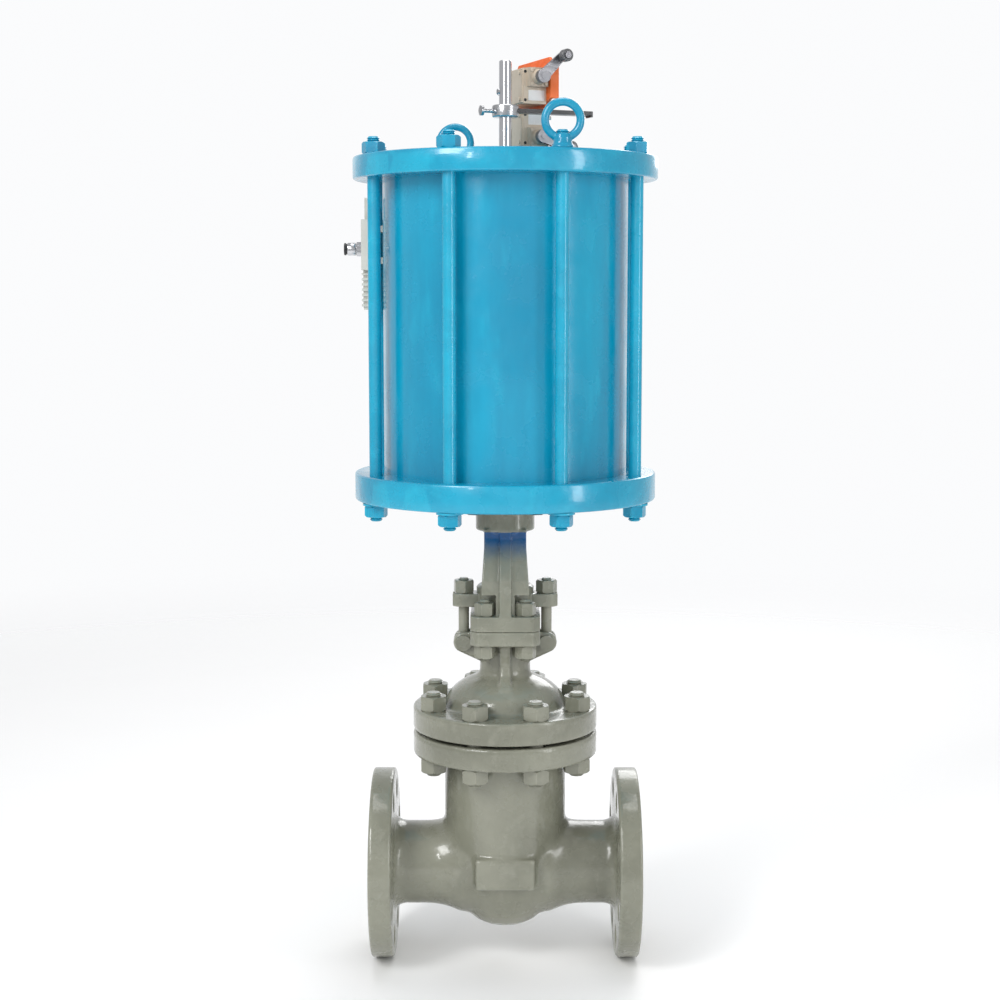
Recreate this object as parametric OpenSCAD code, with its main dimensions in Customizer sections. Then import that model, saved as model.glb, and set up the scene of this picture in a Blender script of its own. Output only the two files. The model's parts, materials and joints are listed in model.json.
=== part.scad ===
// Flanged wedge gate valve with a tie-rod pneumatic cylinder and limit switches.
// Origin: where the pipe axis crosses the stem axis. +X along the pipe, +Z up the stem.

/* [Valve body] */
// Face to face length over the raised faces
face_to_face = 265; // [255:1:275]
// Outer diameter of an end flange
flange_d = 185; // [180:1:190]
// Thickness of an end flange without its raised face
flange_t = 22; // [20:1:24]
// Bolt circle of an end flange
flange_pcd = 145; // [140:1:148]
// Diameter of the end flange bolt holes
flange_hole_d = 18; // [14:1:19]
// Bore of the valve
bore_d = 65; // [64:0.5:66]
// Outer diameter of the bonnet joint flanges
joint_d = 180; // [178:1:184]

/* [Stem] */
// Diameter of the stem
stem_d = 20; // [18:1:20]
// Height of the gate centre above the pipe axis as drawn
gate_lift = 24; // [23:1:25]
// Gap of the stem in its packing
stem_gap = 0.05; // [0.02:0.01:0.08]

/* [Cylinder] */
// Outer diameter of the cylinder covers
cover_d = 290; // [288:1:296]
// Bolt circle of the tie rods
tie_pcd = 264; // [262:1:266]
// Outer diameter of the cylinder tube
tube_d = 234; // [230:1:236]
// Bore of the cylinder tube
tube_bore = 220; // [216:1:222]
// Turn of the cylinder about the stem axis
cylinder_turn = 22.5; // [20:0.5:25]

/* [Hidden] */
$fn = 96;

steel_green = [0.55, 0.56, 0.50];
actuator_blue = [0.05, 0.55, 0.78];
bright_steel = [0.80, 0.81, 0.83];
switch_grey = [0.72, 0.68, 0.61];
dark_steel = [0.12, 0.12, 0.13];

// Valve levels above the pipe axis
raised_face = 2;
raised_face_d = 118;
neck_r = 40.5;
barrel_r = 59.5;
body_joint_z = 135;
joint_t = 22;
gasket_t = 3;
bonnet_z = body_joint_z + gasket_t;
joint_pcd = 150;
joint_bolts = 8;
joint_stud_d = 16;
dome_z = bonnet_z + joint_t;
dome_h = 33;
bonnet_neck_r = 24.7;
plate_z = 224.5;
plate_t = 14.5;
foot_t = 14.5;
plate_x = 67;
plate_y = 92;
plate_corner = 7;
yoke_bolt_x = 19.5;
yoke_bolt_y = 33;
yoke_stud_d = 12;
box_r = 15;
box_bottom_z = 190;
spigot_top_z = 251;
ring_h = 6;
packing_count = 6;
follower_z = box_bottom_z + packing_count * ring_h;
gland_z = 257.7;
gland_t = 12.8;
eye_x = 40.4;
eye_z = 222.8;
eye_shank_d = 10.4;
eye_r = 7.2;
cotter_y = 16;
cotter_d = 2;
pin_d = 8;
head_z = 332.6;
head_top_z = 364;

// Gate and seats
gate_r = 37.4;
gate_half = 14;
wedge_angle = 5;
seat_r = 38;
seat_back_x = 36;
seat_gap = 0.08;
groove_w = 10.6;
rib_w = 10;

// Cylinder levels above the pipe axis
bottom_z = 364;
bottom_t = 26;
tube_z = bottom_z + bottom_t;
tube_top_z = 667.5;
top_t = 21;
cover_z = tube_top_z + top_t;
tie_d = 12;
tie_top_z = cover_z + 16;
rod_d = 32;
rod_foot_z = 320;
piston_z = 430;
piston_t = 30;
tail_d = 12;
tail_top_z = 779.5;

// Position indicator, heights measured from the top cover
clamp_z = 38;
clamp_h = 11.5;
clamp_r = 12.6;
bar_z = 42.5;
bar_t = 4;
bar_w = 13;
bar_end = 89;
upper_z = 72;
lower_z = 31;
body_h = 34;
body_x0 = 30;
body_w = 24;
body_y0 = 26;
body_l = 44;
lever_r = 27;
upper_lever_angle = 44.7;
lower_lever_angle = 24;
lever_x = 44;
shaft_rise = 8;
roller_r = 6;
roller_w = 8;
lever_y = 9;
plate_x0 = body_x0 + body_w;
bracket_t = 3;
bracket_h = 99.5;
bar_tab = 1.5;

// Air valve on the left of the tube
valve_x = -122;
valve_y = 12;
block_low_z = 583;
block_high_z = 631;
fitting_z = 603;

// Helpers ------------------------------------------------------------

// A round solid about Z from a profile of [radius, height] points
module turned(points) {
    rotate_extrude() polygon(points);
}

// Points of a quarter ellipse from [rx, 0] towards [0, rz], centred on height z
function ellipse_arc(rx, rz, z, a0, a1, steps) =
    [for (i = [0 : steps]) let (a = a0 + (a1 - a0) * i / steps) [rx * cos(a), z + rz * sin(a)]];

// A hexagon prism along Z, by its width across flats
module hex_prism(flats, h) {
    cylinder(d = flats / cos(30), h = h, $fn = 6);
}

// A hexagon nut: bored, with its two ends chamfered
module nut(flats, h, hole_d) {
    corner = flats / cos(30);
    difference() {
        intersection() {
            hex_prism(flats, h);
            turned([[0, 0], [flats / 2, 0], [corner / 2, corner * 0.07], [corner / 2, h - corner * 0.07],
                [flats / 2, h], [0, h]]);
        }
        translate([0, 0, -1]) cylinder(d = hole_d, h = h + 2);
    }
}

// A stud with chamfered ends
module stud(d, h) {
    c = d * 0.1;
    turned([[0, 0], [d / 2 - c, 0], [d / 2, c], [d / 2, h - c], [d / 2 - c, h], [0, h]]);
}

// Children repeated on a circle about Z, starting half a step from +X
module on_circle(pcd, count) {
    for (i = [0 : count - 1])
        rotate([0, 0, (i + 0.5) * 360 / count]) translate([pcd / 2, 0, 0]) children();
}

// Children repeated at the four corners of a rectangle
module at_corners(x, y) {
    for (sx = [-1, 1], sy = [-1, 1]) translate([sx * x, sy * y, 0]) children();
}

// A flat plate with its corners cut off at 45 degrees
module cut_corner_plate(x, y, t, c) {
    linear_extrude(t) polygon([
        [x / 2, y / 2 - c], [x / 2 - c, y / 2], [c - x / 2, y / 2], [-x / 2, y / 2 - c],
        [-x / 2, c - y / 2], [c - x / 2, -y / 2], [x / 2 - c, -y / 2], [x / 2, c - y / 2]]);
}

// The frame of the tie rods, switches and striker: its -Y side faces a tie rod
module cylinder_frame(z = 0) {
    translate([0, 0, z]) rotate([0, 0, cylinder_turn]) children();
}

// Children at each of the eight tie rods, numbered from the cylinder frame's +X
module at_tie(i) {
    cylinder_frame() rotate([0, 0, i * 45]) translate([tie_pcd / 2, 0, 0]) children();
}

// Valve --------------------------------------------------------------

// Half profile of one pipe neck and flange, turned about Z and then laid along X
module end_neck() {
    rim = face_to_face / 2 - raised_face;
    back = rim - flange_t;
    r = flange_d / 2;
    turned([
        [0, 0], [49, 0], [49, 44], [46, 50], [43, 58], [41, 68], [neck_r, 80], [neck_r, back - 10],
        [42, back - 5], [44.5, back - 1.6], [48, back], [r - 1, back], [r, back + 1],
        [r, rim - 1], [r - 1, rim], [raised_face_d / 2, rim],
        [raised_face_d / 2, rim + raised_face], [0, rim + raised_face]]);
}

// Outside of the barrel, rounded to the small boss under the body
module barrel_shape() {
    joint_z = body_joint_z - joint_t;
    turned(concat(
        [[0, -64], [7, -64], [7.5, -60]],
        [[24, -57.5], [32, -53], [38.5, -46], [44.5, -36], [50, -25], [54.5, -12], [57.8, 2],
            [59.2, 14], [barrel_r, 26], [barrel_r, joint_z - 3], [60.8, joint_z]],
        [[joint_d / 2 - 1, joint_z], [joint_d / 2, joint_z + 1], [joint_d / 2, body_joint_z - 1],
            [joint_d / 2 - 1, body_joint_z], [0, body_joint_z]]));
}

// Space in the body for the gate, with guide ribs left standing
module gate_space() {
    cavity_x = 48;
    cavity_r = 44;
    difference() {
        union() {
            rotate([0, 90, 0]) cylinder(r = cavity_r, h = cavity_x, center = true);
            translate([-cavity_x / 2, -cavity_r, 0]) cube([cavity_x, 2 * cavity_r, body_joint_z + 1]);
            translate([0, 0, 52]) cylinder(r = 48, h = body_joint_z);
        }
        for (s = [-1, 1])
            translate([-rib_w / 2, s > 0 ? 36 : -50, -12]) cube([rib_w, 14, 130]);
    }
}

module valve_body() {
    hole_r = flange_hole_d / 2;
    color(steel_green) difference() {
        union() {
            barrel_shape();
            for (s = [-1, 1]) rotate([0, s * 90, 0]) end_neck();
            for (s = [-1, 1]) translate([-29, s > 0 ? 40 : -62.5, -10]) cube([58, 22.5, 30]);
        }
        rotate([0, 90, 0]) cylinder(d = bore_d, h = face_to_face + 10, center = true);
        rotate([0, 90, 0]) cylinder(r = seat_r, h = 2 * seat_back_x, center = true);
        gate_space();
        for (s = [-1, 1]) rotate([0, s * 90, 0])
            translate([0, 0, face_to_face / 2 - flange_t - 10]) on_circle(flange_pcd, 8)
                cylinder(r = hole_r, h = flange_t + 20);
        translate([0, 0, body_joint_z - joint_t - 5]) on_circle(joint_pcd, joint_bolts)
            cylinder(d = joint_stud_d + 2, h = joint_t + 10);
    }
}

// A wedge-shaped block that widens upwards, seen along Y, drawn at the closed height
module wedge_block(half, top, bottom, width) {
    k = tan(wedge_angle);
    rotate([90, 0, 0]) linear_extrude(width, center = true) polygon([
        [half + top * k, top], [-half - top * k, top],
        [-half + bottom * k, -bottom], [half - bottom * k, -bottom]]);
}

module seat_rings() {
    color(bright_steel) difference() {
        rotate([0, 90, 0]) cylinder(r = seat_r, h = 2 * seat_back_x, center = true);
        rotate([0, 90, 0]) cylinder(d = bore_d, h = 2 * seat_back_x + 2, center = true);
        wedge_block(gate_half + seat_gap, 60, 60, 120);
    }
}

module wedge_gate() {
    slot_z = 30;
    head_w = 30.4;
    color(bright_steel) translate([0, 0, gate_lift]) difference() {
        union() {
            intersection() {
                rotate([0, 90, 0]) cylinder(r = gate_r, h = 60, center = true);
                wedge_block(gate_half, 50, 50, 100);
            }
            translate([-16, -17, 26]) cube([32, 34, 24]);
        }
        for (s = [-1, 1])
            translate([-groove_w / 2, s > 0 ? 34.5 : -60, -60]) cube([groove_w, 25.5, 120]);
        translate([-40, -head_w / 2, slot_z]) cube([80, head_w, 10.4]);
        translate([-40, -10.4, slot_z]) cube([80, 20.8, 40]);
        difference() {
            rotate([0, 90, 0]) cylinder(r = 27, h = 80, center = true);
            rotate([0, 90, 0]) cylinder(r = 60, h = 14, center = true);
            translate([-50, -50, 14]) cube(100);
        }
    }
}

module stem() {
    head_w = 30;
    foot = gate_lift + 30.2;
    color(bright_steel) union() {
        translate([-12, -head_w / 2, foot]) cube([24, head_w, 10]);
        translate([0, 0, foot + 9]) cylinder(d = stem_d, h = rod_foot_z + 26 - foot - 9);
        translate([0, 0, foot + 10])
            turned([[0, 0], [10, 0], [10, 14], [14, 18], [14, 22], [10, 26], [0, 26]]);
    }
}

module backseat_bush() {
    color("goldenrod") translate([0, 0, box_bottom_z - 8]) difference() {
        turned([[0, -6], [15, -6], [15, 0], [13, 0], [13, 8], [0, 8]]);
        translate([0, 0, -7]) cylinder(r = stem_d / 2 + stem_gap, h = 20);
    }
}

// One side's pair of ears for a gland eye bolt, drawn towards +X
module lug_pair() {
    for (s = [-1, 1]) translate([0, s > 0 ? 12.5 : -5.5, 0]) rotate([90, 0, 0]) linear_extrude(7) union() {
        translate([eye_x, eye_z]) circle(r = 10);
        polygon([[15, 232.5], [eye_x, eye_z + 9.95], [eye_x + 4.5, eye_z - 8.9], [24, 204], [15, 201]]);
    }
}

module bonnet() {
    outer_r = joint_d / 2;
    color(steel_green) difference() {
        union() {
            turned(concat(
                [[0, bonnet_z], [outer_r - 1, bonnet_z], [outer_r, bonnet_z + 1], [outer_r, dome_z - 1],
                    [outer_r - 1, dome_z], [62, dome_z], [59, dome_z + 2]],
                ellipse_arc(58.5, dome_h, dome_z, 8, 60, 10),
                [[26.5, dome_z + 30.5], [bonnet_neck_r, dome_z + 33.5], [bonnet_neck_r, plate_z],
                    [bonnet_neck_r, spigot_top_z], [0, spigot_top_z]]));
            translate([0, 0, plate_z]) cut_corner_plate(plate_x, plate_y, plate_t, plate_corner);
            for (s = [0, 180]) rotate([0, 0, s]) lug_pair();
            for (a = [90, 270]) rotate([0, 0, a]) rotate([90, 0, 0])
                linear_extrude(11, center = true) polygon([[10, 165], [52, 168], [45, 183],
                    [33, 194], [30, 204], [36, plate_z + 1], [10, plate_z + 1]]);
        }
        turned([[0, bonnet_z - 1], [48, bonnet_z - 1], [48, bonnet_z + 6], [44, dome_z], [34, dome_z + 12],
            [20, dome_z + 19], [15, dome_z + 20], [15, box_bottom_z - 8], [0, box_bottom_z - 8]]);
        translate([0, 0, box_bottom_z - 20]) cylinder(r = 13, h = 30);
        translate([0, 0, box_bottom_z]) cylinder(r = box_r, h = 100);
        translate([0, 0, bonnet_z - 5]) on_circle(joint_pcd, joint_bolts)
            cylinder(d = joint_stud_d + 2, h = joint_t + 9);
        translate([0, 0, plate_z - 5]) at_corners(yoke_bolt_x, yoke_bolt_y)
            cylinder(d = yoke_stud_d + 1, h = plate_t + 10);
        for (s = [-1, 1]) translate([s * eye_x, 0, eye_z]) rotate([90, 0, 0])
            cylinder(d = pin_d, h = 60, center = true);
        for (s = [-1, 1]) translate([s > 0 ? 26.5 : -60, -5.5, 198]) cube([33.5, 11, 26]);
        for (s = [-1, 1]) translate([s > 0 ? 33 : -60, -5.5, 198]) cube([27, 11, 50]);
    }
}

module bonnet_gasket() {
    color("dimgray") translate([0, 0, body_joint_z]) difference() {
        cylinder(r = 65, h = gasket_t);
        translate([0, 0, -1]) cylinder(r = 50, h = gasket_t + 2);
    }
}

module bonnet_studs() {
    over = 17.5;
    color(steel_green) translate([0, 0, body_joint_z - joint_t - over]) on_circle(joint_pcd, joint_bolts)
        stud(joint_stud_d, 2 * joint_t + gasket_t + 2 * over);
}

module bonnet_nuts() {
    h = 14;
    color(steel_green) for (z = [body_joint_z - joint_t - h, dome_z]) translate([0, 0, z])
        for (i = [0 : joint_bolts - 1]) rotate([0, 0, (i + 0.5) * 45]) translate([joint_pcd / 2, 0, 0])
            rotate([0, 0, 17 * i]) nut(24, h, joint_stud_d);
}

module packing_rings() {
    edge = 0.5;
    color([0.2, 0.2, 0.2]) for (i = [0 : packing_count - 1])
        translate([0, 0, box_bottom_z + i * ring_h]) difference() {
            turned([[0, 0], [box_r - edge, 0], [box_r, edge], [box_r, ring_h - edge],
                [box_r - edge, ring_h], [0, ring_h]]);
            translate([0, 0, -1]) cylinder(r = stem_d / 2 + stem_gap, h = ring_h + 2);
        }
}

module gland_follower() {
    color("darkgray") difference() {
        turned([[0, follower_z], [box_r - 0.1, follower_z], [box_r - 0.1, spigot_top_z + 2],
            [21, spigot_top_z + 2], [21, gland_z - 1], [18, gland_z + 3], [0, gland_z + 3]]);
        translate([0, 0, follower_z - 1]) cylinder(r = stem_d / 2 + 0.3, h = 60);
    }
}

module gland_flange() {
    ear_r = 12.5;
    color(steel_green) difference() {
        union() {
            translate([0, 0, gland_z]) linear_extrude(gland_t) union() {
                circle(r = 28);
                translate([-eye_x, -ear_r]) square([2 * eye_x, 2 * ear_r]);
                for (s = [-1, 1]) translate([s * eye_x, 0]) circle(r = ear_r);
            }
            translate([0, 0, gland_z + gland_t])
                turned([[0, 0], [28, 0], [28, 6], [25.5, 8.5], [0, 8.5]]);
        }
        turned([[0, gland_z - 2], [21.2, gland_z - 2], [21.2, gland_z - 1], [18.1, gland_z + 3],
            [13, gland_z + 3], [13, gland_z + 40], [0, gland_z + 40]]);
        for (s = [-1, 1]) translate([s * eye_x, 0, gland_z - 5]) cylinder(d = 12, h = 40);
        for (s = [-1, 1]) translate([s > 0 ? eye_x : -eye_x - 20, -6, gland_z - 5]) cube([20, 12, 40]);
    }
}

module gland_eye_bolts() {
    color(steel_green) for (s = [-1, 1]) translate([s * eye_x, 0, 0]) difference() {
        union() {
            translate([0, 0, eye_z]) rotate([90, 0, 0]) cylinder(r = eye_r, h = 10, center = true);
            translate([0, 0, eye_z + 5]) cylinder(d = eye_shank_d, h = 285 - eye_z - 5);
        }
        translate([0, 0, eye_z]) rotate([90, 0, 0]) cylinder(d = pin_d, h = 40, center = true);
    }
}

module gland_nuts() {
    color(steel_green) for (s = [-1, 1]) translate([s * eye_x, 0, gland_z + gland_t])
        rotate([0, 0, s > 0 ? 8 : 40]) nut(18, 12.6, eye_shank_d);
}

module gland_pins() {
    color(steel_green) for (s = [-1, 1]) translate([s * eye_x, 0, eye_z]) rotate([90, 0, 0]) difference() {
        union() {
            translate([0, 0, -19]) cylinder(d = pin_d, h = 34);
            translate([0, 0, 12.5]) cylinder(r = 7.4, h = 4);
        }
        translate([0, 0, -cotter_y]) rotate([90, 0, 0]) cylinder(d = cotter_d + 0.1, h = 30, center = true);
    }
}

// Each cotter pin stands upright through its pin, with its leg bent outwards below
module cotter_pins() {
    color("silver") for (s = [-1, 1]) translate([s * eye_x, cotter_y, eye_z]) union() {
        translate([0, 0, -6]) cylinder(d = cotter_d, h = 12.2);
        translate([0, 0, -5.6]) rotate([0, s * 135, 0]) cylinder(d = cotter_d, h = 10);
        translate([0, 0, 8.4]) rotate([90, 0, 0]) rotate_extrude() translate([2.2, 0]) circle(d = 1.6);
    }
}

// One yoke arm on the +Y side: a web across and a rib down its outside
module yoke_arm() {
    foot = plate_z + plate_t + foot_t;
    intersection() {
        union() {
            rotate([90, 0, 90]) linear_extrude(60, center = true) polygon([
                [31, foot - 3], [31, 285], [17, 325], [17, head_z + 3],
                [25, head_z + 3], [25, 327], [38, 287], [38, foot - 3]]);
            rotate([90, 0, 90]) linear_extrude(11, center = true) polygon([
                [30, foot - 3], [30, 285], [18, 325], [18, head_z + 2], [28, head_z + 2], [28.3, 326],
                [43, 288], [45, foot + 3], [45.9, foot - 3]]);
        }
        rotate([90, 0, 0]) linear_extrude(200, center = true) polygon([
            [23.5, foot - 4], [22.5, 285], [20.3, 318], [20.3, head_z + 4],
            [-20.3, head_z + 4], [-20.3, 318], [-22.5, 285], [-23.5, foot - 4]]);
    }
}

module yoke() {
    foot_z = plate_z + plate_t;
    color(steel_green) difference() {
        union() {
            translate([0, 0, foot_z]) cut_corner_plate(plate_x, plate_y, foot_t, plate_corner);
            for (a = [0, 180]) rotate([0, 0, a]) yoke_arm();
            turned([[0, head_z], [27.5, head_z], [28.6, head_z + 1.2], [28.6, head_z + 19],
                [33, 356], [50, 356], [50, head_top_z], [0, head_top_z]]);
        }
        translate([0, 0, foot_z - 1]) cylinder(r = bonnet_neck_r + 0.3, h = foot_t + 2);
        translate([0, 0, head_z - 5]) cylinder(r = 20, h = 60);
        translate([0, 0, foot_z - 5]) at_corners(yoke_bolt_x, yoke_bolt_y)
            cylinder(d = yoke_stud_d + 1, h = foot_t + 8);
        translate([0, 0, foot_z + foot_t]) at_corners(yoke_bolt_x, yoke_bolt_y) cylinder(r = 11.5, h = 20);
        translate([0, 0, 350]) on_circle(84, 4) cylinder(d = 8, h = 20);
    }
}

module yoke_studs() {
    over = 15.5;
    color(steel_green) translate([0, 0, plate_z - over]) at_corners(yoke_bolt_x, yoke_bolt_y)
        stud(yoke_stud_d, plate_t + foot_t + 2 * over);
}

module yoke_nuts() {
    h = 12.5;
    color(steel_green) for (z = [plate_z - h, plate_z + plate_t + foot_t])
        translate([0, 0, z]) at_corners(yoke_bolt_x, yoke_bolt_y) rotate([0, 0, 11]) nut(18, h, yoke_stud_d);
}

module head_screws() {
    color(dark_steel) translate([0, 0, 350.7]) on_circle(84, 4) union() {
        hex_prism(13, 5.3);
        cylinder(d = 8, h = 27);
    }
}

// Cylinder -----------------------------------------------------------

module stem_lock_nut() {
    color(bright_steel) translate([0, 0, rod_foot_z - 10]) nut(30, 10, stem_d);
}

module piston_rod() {
    color(bright_steel) difference() {
        turned([[0, rod_foot_z], [rod_d / 2 - 1, rod_foot_z], [rod_d / 2, rod_foot_z + 1],
            [rod_d / 2, piston_z], [12, piston_z], [12, piston_z + piston_t], [0, piston_z + piston_t]]);
        translate([0, 0, rod_foot_z - 1]) cylinder(d = stem_d, h = 27);
    }
}

module cover_holes(z, h) {
    translate([0, 0, z]) for (i = [0 : 7]) at_tie(i) cylinder(d = tie_d, h = h);
}

// Outline of a cover with rounded rim edges
module cover_disc(z, t) {
    r = cover_d / 2;
    turned([[0, z], [r - 2, z], [r - 0.6, z + 0.6], [r, z + 2], [r, z + t - 2],
        [r - 0.6, z + t - 0.6], [r - 2, z + t], [0, z + t]]);
}

module bottom_cover() {
    color(actuator_blue) difference() {
        union() {
            cover_disc(bottom_z, bottom_t);
            translate([0, 0, tube_z]) cylinder(d = tube_bore - 0.2, h = 12);
        }
        translate([0, 0, tube_z + 6]) difference() {
            cylinder(d = tube_bore + 4, h = 3.6);
            cylinder(d = tube_bore - 6, h = 3.6);
        }
        translate([0, 0, bottom_z - 1]) cylinder(r = 20, h = 5);
        translate([0, 0, bottom_z]) cylinder(r = 21, h = 60);
        cover_holes(bottom_z - 1, bottom_t + 2);
        translate([0, 0, bottom_z - 1]) on_circle(84, 4) cylinder(d = 8, h = 15);
        rotate([0, 0, -45]) translate([-80, 0, tube_z - 13]) cylinder(d = 10, h = 40);
        rotate([0, 0, -45]) translate([-160, 0, tube_z - 13]) rotate([0, 90, 0]) cylinder(d = 10, h = 84);
    }
}

module rod_bush() {
    color("goldenrod") translate([0, 0, bottom_z + 4]) difference() {
        cylinder(r = 21, h = 24);
        translate([0, 0, -1]) cylinder(r = rod_d / 2 + 0.06, h = 40);
        translate([0, 0, 9]) cylinder(r = 19, h = 5);
    }
}

module rod_seal() {
    color([0.1, 0.1, 0.1]) translate([0, 0, bottom_z + 13.2]) difference() {
        cylinder(r = 19, h = 4.6);
        translate([0, 0, -1]) cylinder(r = rod_d / 2 + 0.03, h = 10);
    }
}

module cylinder_tube() {
    color(actuator_blue) difference() {
        translate([0, 0, tube_z]) cylinder(d = tube_d, h = tube_top_z - tube_z);
        translate([0, 0, tube_z - 1]) cylinder(d = tube_bore, h = tube_top_z - tube_z + 2);
    }
}

module tube_seals() {
    color([0.1, 0.1, 0.1]) for (z = [tube_z + 6.1, tube_top_z - 9.5]) translate([0, 0, z]) difference() {
        cylinder(d = tube_bore, h = 3.4);
        translate([0, 0, -1]) cylinder(d = tube_bore - 6, h = 6);
    }
}

module top_cover() {
    color(actuator_blue) difference() {
        union() {
            cover_disc(tube_top_z, top_t);
            translate([0, 0, tube_top_z - 12]) cylinder(d = tube_bore - 0.2, h = 12);
        }
        translate([0, 0, tube_top_z - 9.6]) difference() {
            cylinder(d = tube_bore + 4, h = 3.6);
            cylinder(d = tube_bore - 6, h = 3.6);
        }
        translate([0, 0, tube_top_z - 20]) cylinder(r = 10, h = 60);
        cover_holes(tube_top_z - 1, top_t + 2);
        translate([0, 0, cover_z - 9]) cylinder_frame() bracket_places() cylinder(d = 5, h = 20);
        translate([70, 35, tube_top_z - 20]) cylinder(d = 10, h = 60);
    }
}

module tie_rods() {
    foot = bottom_z - 17;
    color(actuator_blue) for (i = [0 : 7]) at_tie(i) translate([0, 0, foot]) stud(tie_d, tie_top_z - foot);
}

// The tie rods at the front and the back carry eye nuts instead of plain ones
module tie_rod_nuts() {
    h = 11;
    color(actuator_blue) for (i = [0 : 7]) at_tie(i) {
        translate([0, 0, bottom_z - h - 2.05]) rotate([0, 0, 13 * i]) nut(19, h, tie_d);
        translate([0, 0, bottom_z - 2]) washer(12.5, 2);
        if (i % 4 != 2) {
            translate([0, 0, cover_z]) rotate([0, 0, 23 * i]) nut(19, h, tie_d);
        }
    }
}

module washer(r, t) {
    difference() {
        cylinder(r = r, h = t);
        translate([0, 0, -1]) cylinder(d = tie_d, h = t + 2);
    }
}

module eye_nuts() {
    ring_z = 24.5;
    ring_r = 15.7;
    wire = 3.7;
    color(actuator_blue) for (i = [2, 6]) at_tie(i) translate([0, 0, cover_z])
        rotate([0, 0, -cylinder_turn - 45 * i]) difference() {
            union() {
                turned([[0, 0], [10, 0], [10, 1.5], [8.4, 4], [8.2, 9], [7, 12.5], [0, 12.5]]);
                translate([0, 0, ring_z]) rotate([90, 0, 0]) rotate_extrude()
                    translate([ring_r, 0]) circle(r = wire, $fn = 48);
            }
            translate([0, 0, -1]) cylinder(d = tie_d, h = 14.5);
        }
}

module piston() {
    r = tube_bore / 2 - 0.3;
    color("silver") translate([0, 0, piston_z]) difference() {
        turned([[12, 0], [r - 2, 0], [r, 2], [r, piston_t - 2], [r - 2, piston_t], [100, piston_t],
            [96, piston_t - 10], [34, piston_t - 10], [30, piston_t], [12, piston_t]]);
        for (g = [[6, 5], [19, 7]]) translate([0, 0, g[0]]) difference() {
            cylinder(r = r + 5, h = g[1]);
            cylinder(r = r - 6, h = g[1]);
        }
    }
}

// A ring in a groove round the piston
module piston_ring(z, h) {
    translate([0, 0, piston_z + z]) difference() {
        cylinder(r = tube_bore / 2 - 0.05, h = h);
        translate([0, 0, -1]) cylinder(r = tube_bore / 2 - 6.3, h = h + 2);
    }
}

module piston_seal() {
    color([0.1, 0.1, 0.1]) piston_ring(6, 5);
}

module wear_ring() {
    color("ivory") piston_ring(19, 7);
}

module tail_rod() {
    base = piston_z + piston_t;
    color(bright_steel) turned([[0, base], [20, base], [20, base + 10], [tail_d / 2, base + 10],
        [tail_d / 2, tail_top_z - 0.8], [tail_d / 2 - 0.8, tail_top_z], [0, tail_top_z]]);
}

module tail_bush() {
    color("goldenrod") translate([0, 0, tube_top_z - 12]) difference() {
        cylinder(r = 10, h = 26);
        translate([0, 0, -1]) cylinder(r = tail_d / 2 + 0.05, h = 40);
    }
}

module tail_seal() {
    color([0.1, 0.1, 0.1]) translate([0, 0, tube_top_z + 14]) difference() {
        turned([[0, 0], [10, 0], [10, 5], [8, 7], [0, 7]]);
        translate([0, 0, -1]) cylinder(r = tail_d / 2 + 0.05, h = 10);
    }
}

// Helical return spring between the piston and the top cover, as a stack of sloping rings
module return_spring() {
    turns = 7;
    sides = 8;
    steps = 22;
    wire = 5;
    coil_r = 70;
    low = piston_z + piston_t - 10 + wire + 0.5;
    high = tube_top_z - 12 - wire - 0.5;
    n = turns * steps;
    function ring(i) = [for (k = [0 : sides - 1])
        let (a = 360 * i / steps, b = 360 * k / sides, r = coil_r + wire * cos(b))
        [r * cos(a), r * sin(a), low + (high - low) * i / n + wire * sin(b)]];
    points = [for (i = [0 : n]) each ring(i)];
    skin = [for (i = [0 : n - 1], k = [0 : sides - 1])
        let (a = i * sides + k, b = i * sides + (k + 1) % sides) [a, b, b + sides, a + sides]];
    caps = [[for (k = [sides - 1 : -1 : 0]) k], [for (k = [0 : sides - 1]) n * sides + k]];
    faces = [for (f = concat(skin, caps)) [for (j = [len(f) - 1 : -1 : 0]) f[j]]];
    color("dimgray") polyhedron(points, faces);
}

// Position indicator ---------------------------------------------------

module clamp_ring() {
    color(bright_steel) cylinder_frame(cover_z + clamp_z) difference() {
        turned([[0, 0], [clamp_r - 1, 0], [clamp_r, 1], [clamp_r, clamp_h - 1],
            [clamp_r - 1, clamp_h], [0, clamp_h]]);
        translate([0, 0, -1]) cylinder(d = tail_d, h = clamp_h + 2);
        translate([0, 0, clamp_h / 2]) rotate([0, -90, 0]) cylinder(d = 4, h = 20);
        translate([4, -bar_w / 2, bar_z - clamp_z]) cube([20, bar_w, bar_t]);
    }
}

module clamp_screw() {
    color(bright_steel) cylinder_frame(cover_z + clamp_z + clamp_h / 2) rotate([0, -90, 0]) union() {
        translate([0, 0, tail_d / 2]) cylinder(d = 4, h = 17);
        translate([0, 0, 22]) turned([[0, 0], [2.5, 0], [4.8, 1], [4.8, 3.6], [2.5, 4.4], [0, 4.4]]);
    }
}

// Round-headed stop pin on the tail rod
module rod_pin() {
    r = tail_d / 2;
    color(bright_steel) translate([0, 0, cover_z + 62]) difference() {
        rotate([0, -90, 0])
            turned([[0, r - 1.4], [3.6, r - 1.4], [3.4, r + 0.8], [2, r + 2.2], [0, r + 2.5]]);
        cylinder(r = r, h = 20, center = true);
    }
}

module striker_bar() {
    color(dark_steel) cylinder_frame(cover_z + bar_z) union() {
        translate([7, -bar_w / 2, 0]) cube([bar_end - 7, bar_w, bar_t]);
        translate([bar_end - 2, -bar_w / 2, -bar_tab]) cube([2, bar_w, bar_tab + 0.1]);
    }
}

// Places of the bracket's foot screws
module bracket_places() {
    for (y = [38, 74]) translate([plate_x0 + 14, y, 0]) children();
}

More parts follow.
